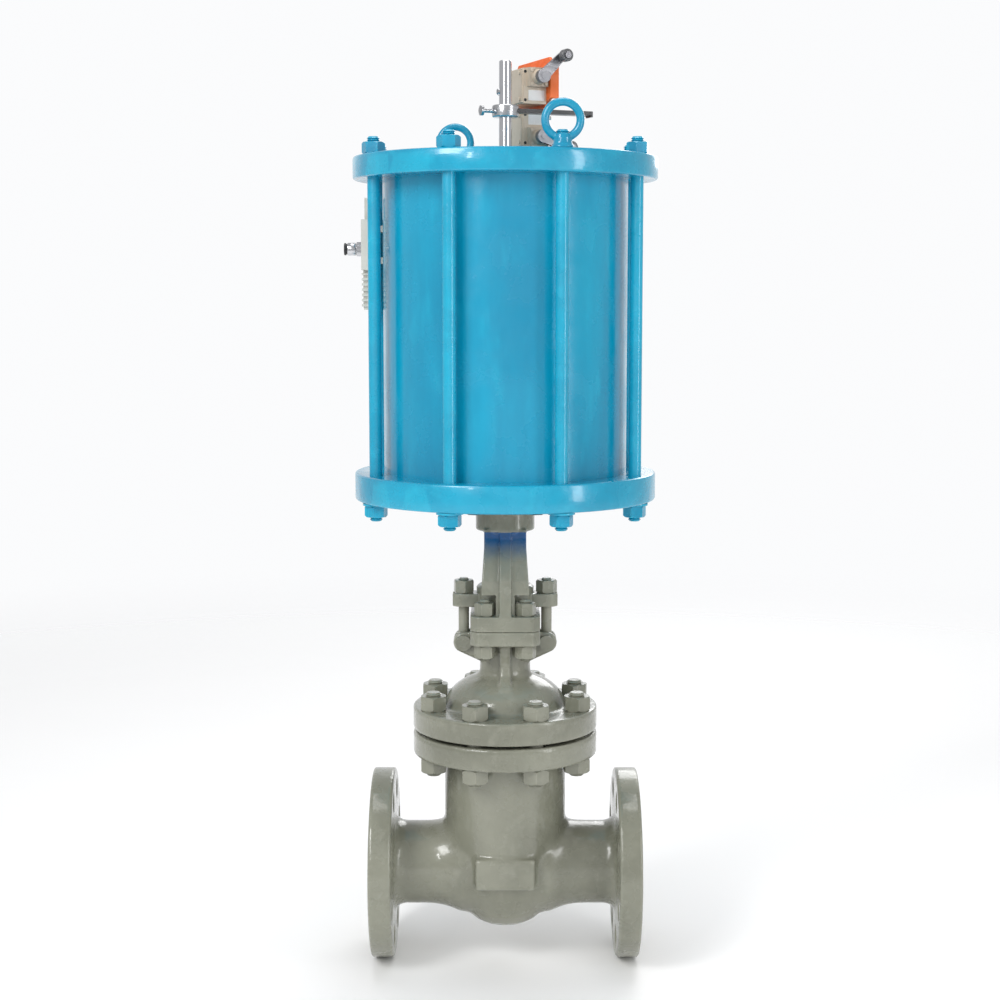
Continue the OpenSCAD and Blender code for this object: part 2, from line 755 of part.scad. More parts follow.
module switch_bracket() {
    far = 98;
    near = 16;
    lip = 9;
    color("orangered") cylinder_frame(cover_z) difference() {
        union() {
            translate([plate_x0, 0, 0]) rotate([90, 0, 90]) linear_extrude(bracket_t) polygon([
                [30, 0], [far, 0], [far, bracket_h - 3], [far - 3, bracket_h],
                [near + 4, bracket_h], [near, bracket_h - 4], [near, 60], [30, 56]]);
            translate([plate_x0, near, 60]) cube([lip, bracket_t, bracket_h - 64]);
            translate([plate_x0, 28, 0]) cube([24, 58, bracket_t]);
        }
        translate([0, 0, -5]) bracket_places() cylinder(d = 5.2, h = 20);
        for (z = [upper_z, lower_z]) at_switch_holes(z)
            translate([0, 0, plate_x0 - 5]) cylinder(d = 4, h = 20);
    }
}

module bracket_screws() {
    color(bright_steel) cylinder_frame(cover_z) bracket_places() union() {
        translate([0, 0, -9]) cylinder(d = 5, h = 13);
        translate([0, 0, bracket_t]) hex_prism(8, 4);
    }
}

// The two mounting screws that run through a switch body along X, towards the bracket
module at_switch_holes(z) {
    for (y = [36, 60], s = [-1, 1]) translate([0, y, z + s * 12]) rotate([0, 90, 0]) children();
}

// Limit switch body at height z, with its head block and shaft above or below the middle
module switch_body(z, side) {
    shaft_z = z + side * shaft_rise;
    cylinder_frame(cover_z) difference() {
        union() {
            translate([body_x0, body_y0, z - body_h / 2]) cube([body_w, body_l, body_h]);
            translate([lever_x - 10.5, body_y0 - 6, shaft_z - 9]) cube([20, 7, 18]);
            translate([lever_x, body_y0 - 6, shaft_z]) rotate([90, 0, 0])
                turned([[0, -1], [8, -1], [6.5, 5], [0, 5]]);
            for (x = [-8, 7], h = [-6.5, 6.5]) translate([lever_x + x, body_y0 - 6, shaft_z + h])
                rotate([90, 0, 0]) cylinder(r = 1.6, h = 1.2);
        }
        at_switch_holes(z) translate([0, 0, body_x0 - 1]) cylinder(d = 4, h = body_w + 2);
        translate([lever_x, body_y0 + 7, shaft_z]) rotate([90, 0, 0]) cylinder(r = 3, h = 40);
        translate([body_x0 + 12, body_y0 + body_l + 1, z]) rotate([90, 0, 0]) cylinder(r = 6, h = 12);
    }
}

module upper_switch_body() {
    color(switch_grey) switch_body(upper_z, 1);
}

module lower_switch_body() {
    color(switch_grey) switch_body(lower_z, -1);
}

// Side cover with a frame and four cover screws, on the switch's left face
module switch_cover(z) {
    cylinder_frame(cover_z) union() {
        translate([body_x0 - 2, body_y0 + 1, z - body_h / 2 + 1]) cube([2, body_l - 2, body_h - 2]);
        for (y = [body_y0 + 5, body_y0 + body_l - 5], s = [-1, 1])
            translate([body_x0 - 3.2, y, z + s * 12.5]) rotate([0, 90, 0]) cylinder(r = 2, h = 2);
    }
}

module upper_switch_cover() {
    color(switch_grey) switch_cover(upper_z);
}

module lower_switch_cover() {
    color(switch_grey) switch_cover(lower_z);
}

module switch_screws() {
    color(bright_steel) cylinder_frame(cover_z) for (z = [upper_z, lower_z])
        at_switch_holes(z) union() {
            translate([0, 0, body_x0 + 1]) cylinder(d = 4, h = body_w + 8);
            translate([0, 0, plate_x0 + bracket_t]) hex_prism(7, 3.2);
        }
}

// Roller lever on its shaft; side is 1 for a lever that points up and -1 for down
module lever(z, side, angle) {
    dx = lever_r * cos(angle);
    dz = side * lever_r * sin(angle);
    cylinder_frame(cover_z) translate([lever_x, 0, z + side * shaft_rise]) rotate([90, 0, 0]) union() {
        translate([0, 0, -body_y0 - 6]) cylinder(r = 2.95, h = 25);
        translate([0, 0, -lever_y - 5.5]) cylinder(r = 6.5, h = 7);
        translate([0, 0, -lever_y - 4]) linear_extrude(4) union() {
            circle(r = 6.5);
            translate([dx, dz]) circle(r = 4);
            rotate(side * angle) polygon([[0, -5.5], [lever_r, -4], [lever_r, 4], [0, 5.5]]);
        }
        translate([dx, dz, -lever_y - 4]) cylinder(r = 1.95, h = lever_y + 4 + 6);
        translate([dx, dz, 4.6]) cylinder(r = 3.2, h = 1.4);
    }
}

module upper_lever() {
    color(bright_steel) lever(upper_z, 1, upper_lever_angle);
}

module lower_lever() {
    color(bright_steel) lever(lower_z, -1, lower_lever_angle);
}

module roller(z, side, angle) {
    dx = lever_r * cos(angle);
    dz = side * lever_r * sin(angle);
    roller_z = z + side * shaft_rise + dz;
    cylinder_frame(cover_z) translate([lever_x + dx, 0, roller_z]) rotate([90, 0, 0]) difference() {
        translate([0, 0, -roller_w / 2]) turned([[0, 0], [roller_r - 0.6, 0], [roller_r, 0.6],
            [roller_r, roller_w - 0.6], [roller_r - 0.6, roller_w], [0, roller_w]]);
        cylinder(r = 2, h = 30, center = true);
    }
}

module upper_roller() {
    color([0.25, 0.25, 0.26]) roller(upper_z, 1, upper_lever_angle);
}

module lower_roller() {
    color([0.25, 0.25, 0.26]) roller(lower_z, -1, lower_lever_angle);
}

module cable_glands() {
    back = body_y0 + body_l;
    color([0.15, 0.15, 0.15]) cylinder_frame(cover_z) for (z = [upper_z, lower_z])
        translate([body_x0 + 12, back, z]) rotate([-90, 0, 0]) difference() {
            union() {
                translate([0, 0, -8]) cylinder(r = 6, h = 10);
                hex_prism(15, 5);
                translate([0, 0, 5]) turned([[0, 0], [6.8, 0], [6.8, 6], [5, 10], [0, 10]]);
            }
            translate([0, 0, -9]) cylinder(r = 3, h = 40);
        }
}

// Air valve --------------------------------------------------------------

module air_valve_block() {
    color(switch_grey) difference() {
        union() {
            translate([valve_x - 16, valve_y - 12, block_low_z]) cube([16, 40, block_high_z - block_low_z]);
            translate([valve_x - 13.5, valve_y + 2, block_high_z]) cube([3, 20, 21]);
            for (z = [block_low_z + 6, block_high_z - 12])
                translate([valve_x - 1, valve_y - 8, z]) cube([12, 30, 6]);
        }
        cylinder(d = tube_d, h = 800);
        translate([valve_x - 17, valve_y, fitting_z]) rotate([0, 90, 0]) cylinder(r = 5, h = 12);
        translate([valve_x - 17, valve_y + 18, fitting_z + 10]) rotate([0, 90, 0]) cylinder(r = 3.02, h = 10);
        translate([valve_x - 8, valve_y + 29, fitting_z - 6]) rotate([90, 0, 0]) cylinder(r = 5, h = 10);
    }
}

module air_valve_coil() {
    ribs = 7;
    color([0.78, 0.77, 0.73]) union() {
        translate([valve_x - 14.5, valve_y - 6, block_low_z - 38]) cube([12, 28, 38]);
        for (i = [0 : ribs - 1])
            translate([valve_x - 16, valve_y - 7.5, block_low_z - 5 - 5 * i]) cube([15, 31, 2.4]);
    }
}

module override_button() {
    color("goldenrod") translate([valve_x - 18, valve_y + 18, fitting_z + 10]) rotate([0, 90, 0])
        cylinder(r = 3, h = 8);
}

module push_in_fitting() {
    color(bright_steel) translate([valve_x - 16, valve_y, fitting_z]) rotate([0, -90, 0]) difference() {
        union() {
            translate([0, 0, -10]) cylinder(r = 5, h = 12);
            hex_prism(12, 5);
            translate([0, 0, 5]) turned([[0, 0], [5.2, 0], [6.2, 1], [6.2, 8], [5.6, 9], [0, 9]]);
        }
        translate([0, 0, -11]) cylinder(r = 2.4, h = 40);
        translate([0, 0, 1]) cylinder(r = 4.05, h = 40);
        translate([0, 0, 10]) cylinder(r = 5, h = 10);
    }
}

module release_ring() {
    color(dark_steel) translate([valve_x - 28, valve_y, fitting_z]) rotate([0, -90, 0]) difference() {
        union() {
            cylinder(r = 4.95, h = 4);
            translate([0, 0, 3]) turned([[0, 0], [5.6, 0], [5.9, 0.4], [5.9, 1.6], [5.6, 2], [0, 2]]);
        }
        translate([0, 0, -1]) cylinder(r = 4.1, h = 10);
    }
}

// Sintered breather in the vent of the spring side
module breather() {
    color("goldenrod") translate([70, 35, cover_z - 8]) union() {
        cylinder(d = 10, h = 9);
        translate([0, 0, 8]) hex_prism(13, 4);
        translate([0, 0, 12]) turned([[0, 0], [4.6, 0], [4.6, 4], [3, 6.5], [0, 7]]);
    }
}

valve_body();
seat_rings();
wedge_gate();
stem();
backseat_bush();
bonnet();
bonnet_gasket();
bonnet_studs();
bonnet_nuts();
packing_rings();
gland_follower();
gland_flange();
gland_eye_bolts();
gland_nuts();
gland_pins();
cotter_pins();
yoke();
yoke_studs();
yoke_nuts();
head_screws();
stem_lock_nut();
piston_rod();
bottom_cover();
rod_bush();
rod_seal();
cylinder_tube();
tube_seals();
top_cover();
tie_rods();
tie_rod_nuts();
eye_nuts();
piston();
piston_seal();
wear_ring();
tail_rod();
tail_bush();
tail_seal();
return_spring();
clamp_ring();
clamp_screw();
rod_pin();
striker_bar();
switch_bracket();
bracket_screws();
upper_switch_body();
lower_switch_body();
upper_switch_cover();
lower_switch_cover();
switch_screws();
upper_lever();
lower_lever();
upper_roller();
lower_roller();
cable_glands();
air_valve_block();
air_valve_coil();
override_button();
push_in_fitting();
release_ring();
breather();
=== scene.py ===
import json
import math

import bmesh
import bpy
from mathutils import Matrix, Vector


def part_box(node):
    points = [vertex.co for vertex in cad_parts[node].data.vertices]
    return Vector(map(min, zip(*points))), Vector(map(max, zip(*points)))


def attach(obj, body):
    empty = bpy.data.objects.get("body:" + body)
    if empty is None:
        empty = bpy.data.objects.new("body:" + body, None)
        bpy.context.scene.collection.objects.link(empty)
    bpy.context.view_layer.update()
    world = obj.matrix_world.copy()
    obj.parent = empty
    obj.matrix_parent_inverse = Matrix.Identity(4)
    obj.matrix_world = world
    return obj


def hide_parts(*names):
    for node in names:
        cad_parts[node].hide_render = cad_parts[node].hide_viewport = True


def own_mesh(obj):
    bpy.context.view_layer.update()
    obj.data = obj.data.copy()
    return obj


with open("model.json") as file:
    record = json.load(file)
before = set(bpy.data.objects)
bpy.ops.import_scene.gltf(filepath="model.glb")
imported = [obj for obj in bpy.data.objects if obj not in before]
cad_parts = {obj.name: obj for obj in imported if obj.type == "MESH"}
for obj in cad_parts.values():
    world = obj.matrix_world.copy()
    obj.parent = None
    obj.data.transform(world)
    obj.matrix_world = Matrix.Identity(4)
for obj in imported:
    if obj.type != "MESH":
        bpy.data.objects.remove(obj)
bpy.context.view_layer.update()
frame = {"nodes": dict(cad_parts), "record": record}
nodes = frame["nodes"]

FIXED = "valve_and_cylinder"
MM = 0.001
TURN = math.radians(22.5)  # the cylinder is turned this much about the stem axis
SHARP = math.radians(35)  # an edge that turns by more than this is rounded or marked sharp
WELD_GAP = 0.00001  # corners of a CAD mesh nearer than this, in metres, become one
EYE_NUT_RISE = 43.9 * MM  # from the top cover to the tops of the eye nuts
HEAD_DEPTH = 31.4 * MM  # from the foot of the bottom cover to the underside of the yoke's round head


def top_of(node):
    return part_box(node)[1].z


def foot_of(node):
    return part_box(node)[0].z


COVER_Z = top_of("eye_nuts") - EYE_NUT_RISE
HEAD_Z = foot_of("bottom_cover") - HEAD_DEPTH


# ---------------------------------------------------------------- materials

class Shader:
    """One material: a Principled shader, with helpers for nodes in object space."""

    def __init__(self, name):
        self.mat = bpy.data.materials.new(name)
        self.mat.use_nodes = True
        self.tree = self.mat.node_tree
        self.bsdf = self.tree.nodes["Principled BSDF"]
        self.place = self.tree.nodes.new("ShaderNodeTexCoord").outputs["Object"]

    def new(self, kind, **settings):
        node = self.tree.nodes.new(kind)
        for key, value in settings.items():
            setattr(node, key, value)
        return node

    def link(self, source, target):
        self.tree.links.new(source, target)

    def set(self, **sockets):
        for key, value in sockets.items():
            self.bsdf.inputs[key.replace("_", " ")].default_value = value
        return self

    def stretched(self, scale):
        node = self.new("ShaderNodeMapping")
        node.inputs["Scale"].default_value = scale
        self.link(self.place, node.inputs["Vector"])
        return node.outputs["Vector"]

    def noise(self, scale, detail=3.0, rough=0.55, stretch=None):
        node = self.new("ShaderNodeTexNoise")
        node.inputs["Scale"].default_value = scale
        node.inputs["Detail"].default_value = detail
        node.inputs["Roughness"].default_value = rough
        self.link(self.stretched(stretch) if stretch else self.place, node.inputs["Vector"])
        return node.outputs["Fac"]

    def remap(self, value, low, high, to_low=0.0, to_high=1.0):
        node = self.new("ShaderNodeMapRange")
        node.interpolation_type = "SMOOTHSTEP"
        for key, number in (("From Min", low), ("From Max", high), ("To Min", to_low), ("To Max", to_high)):
            node.inputs[key].default_value = number
        self.link(value, node.inputs["Value"])
        return node.outputs["Result"]

    def maths(self, operation, first, second):
        node = self.new("ShaderNodeMath", operation=operation)
        for socket, value in zip(node.inputs, (first, second)):
            if isinstance(value, (int, float)):
                socket.default_value = value
            else:
                self.link(value, socket)
        return node.outputs[0]

    def blend(self, factor, first, second):
        node = self.new("ShaderNodeMix", data_type="RGBA")
        self.link(factor, node.inputs["Factor"])
        for socket, value in ((node.inputs[6], first), (node.inputs[7], second)):
            if isinstance(value, tuple):
                socket.default_value = (*value, 1.0)
            else:
                self.link(value, socket)
        return node.outputs[2]

    def axis(self, letter):
        node = self.new("ShaderNodeSeparateXYZ")
        self.link(self.place, node.inputs[0])
        return node.outputs[letter]

    def pointiness(self, low, high):
        return self.remap(self.new("ShaderNodeNewGeometry").outputs["Pointiness"], low, high)

    def edges(self):
        """1 on sharp convex edges, 0 elsewhere."""
        return self.pointiness(0.515, 0.56)

    def painted_shade_corners(self):
        """1 in tight concave corners, 0 elsewhere: the mask for painted shade."""
        return self.pointiness(0.49, 0.44)

    def colour(self, output):
        self.link(output, self.bsdf.inputs["Base Color"])
        return self

    def roughness(self, output):
        self.link(output, self.bsdf.inputs["Roughness"])
        return self

    def bump(self, *layers):
        """Bump layers of (height output, depth in metres), the broadest first."""
        normal = None
        for height, depth in layers:
            node = self.new("ShaderNodeBump")
            node.inputs["Strength"].default_value = 1.0
            node.inputs["Distance"].default_value = depth
            self.link(height, node.inputs["Height"])
            if normal:
                self.link(normal, node.inputs["Normal"])
            normal = node.outputs["Normal"]
        self.link(normal, self.bsdf.inputs["Normal"])
        return self


GREY = (0.245, 0.248, 0.195)
GREY_DARK = (0.165, 0.168, 0.128)
GREY_PALE = (0.330, 0.332, 0.272)
BLUE = (0.002, 0.325, 0.510)
BLUE_DEEP = (0.001, 0.235, 0.395)
BLUE_PALE = (0.014, 0.440, 0.620)
SPRAY_BLUE = (0.003, 0.070, 0.215)


def enamel(name, base, deep, pale, lumps, peel, overspray=False):
    """Gloss enamel with lumps and orange peel, each a depth in metres: pale on edges, and painted shade
    darkens the corners.

    With overspray, blue paint fades out below the underside of the yoke's head.
    """
    s = Shader(name).set(Roughness=0.25, Coat_Weight=0.40, Coat_Roughness=0.06, IOR=1.5)
    broad = s.noise(14, detail=4)
    tone = s.blend(s.remap(broad, 0.35, 0.7), base, deep)
    tone = s.blend(s.maths("MULTIPLY", s.remap(s.noise(55), 0.5, 0.75), 0.35), tone, pale)
    tone = s.blend(s.maths("MULTIPLY", s.edges(), 0.45), tone, pale)
    # painted shade: tight concave corners are darkened towards the deep tone
    tone = s.blend(s.maths("MULTIPLY", s.painted_shade_corners(), 0.6), tone, deep)
    if overspray:
        ragged, fade, rise = 14 * MM, 22 * MM, 3 * MM
        height = s.maths("ADD", s.axis("Z"), s.maths("MULTIPLY", s.noise(70, detail=5), ragged))
        reach = s.remap(height, HEAD_Z - fade, HEAD_Z + rise)
        under_head = s.remap(s.axis("Z"), HEAD_Z + 1.0 * MM, HEAD_Z - 0.5 * MM)
        tone = s.blend(s.maths("MULTIPLY", reach, under_head), tone, SPRAY_BLUE)
    s.colour(tone)
    s.roughness(s.remap(s.noise(40, detail=5), 0.3, 0.7, 0.16, 0.36))
    s.bump((s.noise(75, detail=2), lumps),
           (s.noise(420, detail=2), peel),
           (s.noise(1500, detail=1), peel * 0.25))
    return s.mat


def tube_paint():
    """Enamel on the tube: long runs down it, pale streaks of painted glint, and a thin dark-grey painted
    reflection at each side.
    """
    strip_from, strip_to, edge_reflection_tone = 115.9 * MM, 116.6 * MM, (0.19, 0.20, 0.19)
    s = Shader("tube_enamel").set(Roughness=0.22, Coat_Weight=0.35, Coat_Roughness=0.05, IOR=1.5)
    runs = s.noise(16, detail=4, stretch=(1, 1, 0.18))
    tone = s.blend(s.remap(runs, 0.35, 0.7), BLUE, BLUE_DEEP)
    # painted highlight: pale streaks of glint along the tube
    painted_glints = s.remap(s.noise(60, stretch=(1, 1, 0.3)), 0.5, 0.8)
    tone = s.blend(s.maths("MULTIPLY", painted_glints, 0.3), tone, BLUE_PALE)
    # painted reflection: a thin ragged dark-grey strip at each side of the tube in X darkens its edges
    side = s.maths("ABSOLUTE", s.axis("X"), 0.0)
    painted_edge_reflection = s.maths("MULTIPLY", s.remap(side, strip_from, strip_to),
                   s.remap(s.noise(90, detail=5, stretch=(1, 1, 0.12)), 0.38, 0.6))
    tone = s.blend(s.maths("MULTIPLY", painted_edge_reflection, 0.55), tone, edge_reflection_tone)
    s.colour(tone)
    s.roughness(s.remap(s.noise(30, detail=5), 0.3, 0.7, 0.14, 0.32))
    s.bump((s.noise(45, detail=2, stretch=(1, 1, 0.35)), 0.00035), (s.noise(380, detail=2), 0.00005))
    return s.mat


def metal(name, tone, dark, low=0.16, high=0.34, turned=(1, 1, 40), scale=30, depth=0.00001, stain=0.5):
    """Bare metal with a soft stain, roughness from low to high, and tool marks drawn out by turned."""
    s = Shader(name).set(Metallic=1.0)
    marks = s.noise(scale, detail=6, rough=0.7, stretch=turned)
    blot = s.remap(s.noise(60, detail=4), 0.42, 0.75)
    s.colour(s.blend(s.maths("MULTIPLY", blot, stain), tone, dark))
    s.roughness(s.remap(marks, 0.3, 0.7, low, high))
    s.bump((marks, depth))
    return s.mat


def moulded(name, tone, dark, rough=0.42, grain=1400, depth=0.00003, coat=0.0):
    """Moulded plastic, rubber or powder coat with a fine grain and faint dust."""
    s = Shader(name).set(Coat_Weight=coat, Coat_Roughness=0.15)
    dust = s.remap(s.noise(45, detail=5), 0.4, 0.75)
    tint = s.blend(s.maths("MULTIPLY", dust, 0.5), tone, dark)
    s.colour(s.blend(s.maths("MULTIPLY", s.edges(), 0.3), tint, tuple(min(1, c * 1.5 + 0.02) for c in tone)))
    s.roughness(s.remap(s.noise(90, detail=4), 0.3, 0.7, rough - 0.08, rough + 0.1))
    s.bump((s.noise(grain, detail=2), depth))
    return s.mat


MATS = {
    "valve_casting": enamel("valve_casting", GREY, GREY_DARK, GREY_PALE, 0.0006, 0.00008),
    "yoke_casting": enamel("yoke_casting", GREY, GREY_DARK, GREY_PALE, 0.0006, 0.00008, overspray=True),
    "valve_fasteners": enamel("valve_fasteners", GREY, GREY_DARK, GREY_PALE, 0.00025, 0.00006),
    "actuator_paint": enamel("actuator_paint", BLUE, BLUE_DEEP, BLUE_PALE, 0.0003, 0.00005),
    "tube_paint": tube_paint(),
    "bright_steel": metal("bright_steel", (0.62, 0.63, 0.65), (0.36, 0.36, 0.37), depth=0.000003, stain=0.6),
    "chrome_rod": metal("chrome_rod", (0.72, 0.73, 0.76), (0.55, 0.56, 0.60), 0.05, 0.13,
                        depth=0.000001, stain=0.3),
    "stainless": metal("stainless", (0.60, 0.60, 0.60), (0.36, 0.36, 0.35), 0.22, 0.42),
    "bronze": metal("bronze", (0.62, 0.38, 0.14), (0.33, 0.19, 0.07), 0.25, 0.45),
    "lever_steel": metal("lever_steel", (0.30, 0.30, 0.32), (0.22, 0.22, 0.23), 0.36, 0.50,
                         turned=(1, 1, 8), scale=60, depth=0.000002, stain=0.3),
    "zinc_steel": metal("zinc_steel", (0.62, 0.62, 0.60), (0.38, 0.38, 0.34), 0.24, 0.44),
    "aluminium_casting": metal("aluminium", (0.66, 0.67, 0.68), (0.45, 0.45, 0.46), 0.3, 0.5),
    "spring_steel": metal("spring_steel", (0.14, 0.14, 0.15), (0.06, 0.06, 0.06), 0.3, 0.5),
    "gasket": metal("spiral_gasket", (0.10, 0.10, 0.10), (0.04, 0.04, 0.04), 0.4, 0.6, turned=(1, 1, 90)),
    "graphite": moulded("graphite", (0.035, 0.035, 0.037), (0.02, 0.02, 0.02), 0.6, 900, 0.0001),
    "seal_rubber": moulded("seal_rubber", (0.018, 0.018, 0.018), (0.05, 0.05, 0.05), 0.5),
    "wear_plastic": moulded("wear_plastic", (0.70, 0.67, 0.58), (0.50, 0.47, 0.40), 0.5),
    "black_steel": moulded("black_steel", (0.016, 0.016, 0.017), (0.045, 0.042, 0.040),
                           0.34, 900, 0.00003, coat=0.2),
    "bracket_paint": moulded("bracket_paint", (0.80, 0.125, 0.008), (0.62, 0.08, 0.006),
                             0.50, 900, 0.00005, coat=0.10),
    "switch_shell": moulded("switch_shell", (0.52, 0.435, 0.34), (0.42, 0.34, 0.26),
                            0.42, 1100, 0.00005, coat=0.15),
    "switch_label": moulded("switch_label", (0.66, 0.66, 0.65), (0.52, 0.52, 0.50),
                            0.3, 1600, 0.00001, coat=0.2),
    "roller_plastic": moulded("roller_plastic", (0.075, 0.075, 0.078), (0.04, 0.04, 0.04), 0.4),
    "black_plastic": moulded("black_plastic", (0.020, 0.020, 0.021), (0.05, 0.05, 0.05), 0.38),
    "coil_shell": moulded("coil_shell", (0.55, 0.54, 0.49), (0.40, 0.39, 0.34), 0.42),
}


# ---------------------------------------------------------------- CAD nodes

def wear(obj, mat):
    obj.data.materials.clear()
    obj.data.materials.append(mat)


def soften(obj, width):
    """Rounded edges on a CAD node, as a modifier, so that they catch the light."""
    weld = obj.modifiers.new("weld", "WELD")
    weld.merge_threshold = WELD_GAP
    bevel = obj.modifiers.new("bevel", "BEVEL")
    bevel.width = width
    bevel.segments = 2
    bevel.limit_method = "ANGLE"
    bevel.angle_limit = SHARP
    bevel.harden_normals = True


BEVELS = {  # the rounding of a node's edges, in mm
    "bonnet_nuts": 0.5, "yoke_nuts": 0.45, "gland_nuts": 0.45, "tie_rod_nuts": 0.5, "top_cover": 0.8,
    "bottom_cover": 0.8, "clamp_ring": 0.3, "striker_bar": 0.4, "switch_bracket": 0.5,
    "upper_lever": 0.4, "lower_lever": 0.4, "bracket_screws": 0.3, "switch_screws": 0.25,
    "air_valve_block": 0.6, "air_valve_coil": 0.4, "gland_pins": 0.4, "head_screws": 0.3,
    "push_in_fitting": 0.25, "cable_glands": 0.3, "breather": 0.3}

OWN_LOOK = {"cylinder_tube": "tube_paint", "upper_lever": "lever_steel", "lower_lever": "lever_steel"}

for row in frame["record"]["subparts"]:
    wear(nodes[row["node"]], MATS[OWN_LOOK.get(row["node"], row["material_slot"])])
for name, width in BEVELS.items():
    soften(nodes[name], width * MM)


# ---------------------------------------------------------------- mesh helpers

def piece(name, mesh, body, mat, slot, *replaced):
    """A finished visible piece that rides on a body, and may replace CAD nodes."""
    obj = bpy.data.objects.new(name, mesh)
    bpy.context.scene.collection.objects.link(obj)
    mesh.materials.append(MATS[mat])
    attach(obj, body)
    if replaced:
        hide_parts(*replaced)
    return obj


def baked(obj):
    """The object's mesh with its modifiers applied."""
    graph = bpy.context.evaluated_depsgraph_get()
    return bpy.data.meshes.new_from_object(obj.evaluated_get(graph))


def remeshed(node, voxel, rounds, fillet_where, fillet_rounds):
    """A cast or forged shape from a CAD node: even quads and rounded edges.

    fillet_where gives a vertex's share of the extra smoothing that makes fillets, or is None for no fillets.
    """
    obj = bpy.data.objects.new("work", nodes[node].data.copy())
    bpy.context.scene.collection.objects.link(obj)
    obj.modifiers.new("weld", "WELD").merge_threshold = WELD_GAP
    remesh = obj.modifiers.new("remesh", "REMESH")
    remesh.mode = "VOXEL"
    remesh.voxel_size = voxel
    mesh = baked(obj)
    obj.modifiers.clear()
    obj.data = mesh
    if fillet_where:
        group = obj.vertex_groups.new(name="fillet")
        for vertex in mesh.vertices:
            weight = fillet_where(vertex.co)
            if weight > 0:
                group.add([vertex.index], min(weight, 1.0), "REPLACE")
        blend = obj.modifiers.new("fillet", "SMOOTH")
        blend.vertex_group = group.name
        blend.factor = 0.5
        blend.iterations = fillet_rounds
    smooth = obj.modifiers.new("smooth", "SMOOTH")
    smooth.factor = 0.5
    smooth.iterations = rounds
    mesh = baked(obj)
    bpy.data.objects.remove(obj)
    mesh.polygons.foreach_set("use_smooth", [True] * len(mesh.polygons))
    mesh.materials.clear()
    return mesh


def ramp(value, low, high):
    """0 at low, 1 at high, and even in between; low may be the larger."""
    return max(0.0, min(1.0, (value - low) / (high - low)))


def lathe(bm, profile, place, steps=32):
    """Adds a round shape about Z from (radius, height) points, moved by place.

    It is closed if the points start and end on the axis, or if they end where they start.
    """
    rings = []
    for radius, height in profile:
        if radius < 1e-7:
            rings.append([bm.verts.new(place @ Vector((0, 0, height)))])
            continue
        rings.append([
            bm.verts.new(place @ Vector((radius * math.cos(a), radius * math.sin(a), height)))
            for a in (2 * math.pi * i / steps for i in range(steps))])
    for low, high in zip(rings, rings[1:]):
        for i in range(steps):
            j = (i + 1) % steps
            corners = [low[i % len(low)], low[j % len(low)], high[j % len(high)], high[i % len(high)]]
            unique = list(dict.fromkeys(corners))
            if len(unique) > 2:
                bm.faces.new(unique)


def thread(radius, low, high, pitch):
    """Profile points of a ridged thread between two heights."""
    depth = 0.6 * pitch
    count = max(1, round((high - low) / pitch))
    step = (high - low) / count
    points = []
    for i in range(count):
        z = low + i * step
        points += [(radius - depth, z), (radius, z + step * 0.42), (radius, z + step * 0.58)]
    return points + [(radius - depth, high)]


def threaded_rod(radius, low, high, pitch, thread_low, thread_high):
    """Profile of a rod with its ends threaded over the given lengths; thread_low may be 0."""
    chamfer = 0.12 * radius
    points = [(0, low), (radius - chamfer * 2, low), (radius - chamfer, low + chamfer)]
    if thread_low:
        points += thread(radius, low + chamfer, low + thread_low, pitch)
    points += [(radius, low + thread_low + pitch * 0.5), (radius, high - thread_high - pitch * 0.5)]
    points += thread(radius, high - thread_high, high - chamfer, pitch)
    return points + [(radius - chamfer * 2, high), (0, high)]


def from_bmesh(bm):
    """The finished mesh, smooth but for its sharp edges. It frees bm."""
    bmesh.ops.recalc_face_normals(bm, faces=bm.faces)
    mesh = bpy.data.meshes.new("mesh")
    bm.to_mesh(mesh)
    bm.free()
    mesh.polygons.foreach_set("use_smooth", [True] * len(mesh.polygons))
    mesh.set_sharp_from_angle(angle=SHARP)
    return mesh


def rods(spots, profile):
    """Upright round bars of one profile at every (x, y) spot."""
    bm = bmesh.new()
    for x, y in spots:
        lathe(bm, profile, Matrix.Translation((x, y, 0)))
    return from_bmesh(bm)


def ring_spots(pcd, count, start):
    """Evenly spaced (x, y) spots on a circle of diameter pcd, the first at the angle start."""
    angles = [start + 2 * math.pi * i / count for i in range(count)]
    return [(pcd / 2 * math.cos(a), pcd / 2 * math.sin(a)) for a in angles]


# ---------------------------------------------------------------- finished pieces

def body_fillets(co):
    """The blends between the barrel, the necks and the cast pads, outside the bore."""
    neck_start, neck_full, neck_fading, neck_end = 0.026, 0.036, 0.070, 0.088
    wall_start, wall_full = 0.0365, 0.0390
    pads_full, pads_end = 0.090, 0.104
    across = ramp(abs(co.x), neck_start, neck_full) * ramp(abs(co.x), neck_end, neck_fading)
    outside = ramp(math.hypot(co.y, co.z), wall_start, wall_full) * ramp(co.z, pads_end, pads_full)
    return across * outside


def bonnet_fillets(co):
    """The blends between the dome, the neck and the ribs, outside the stuffing box."""
    dome_start, dome_full, neck_fading, neck_end = 0.1615, 0.168, 0.208, 0.219
    wall_start, wall_full = 0.0195, 0.0225
    height = ramp(co.z, dome_start, dome_full) * ramp(co.z, neck_end, neck_fading)
    return height * ramp(math.hypot(co.x, co.y), wall_start, wall_full)


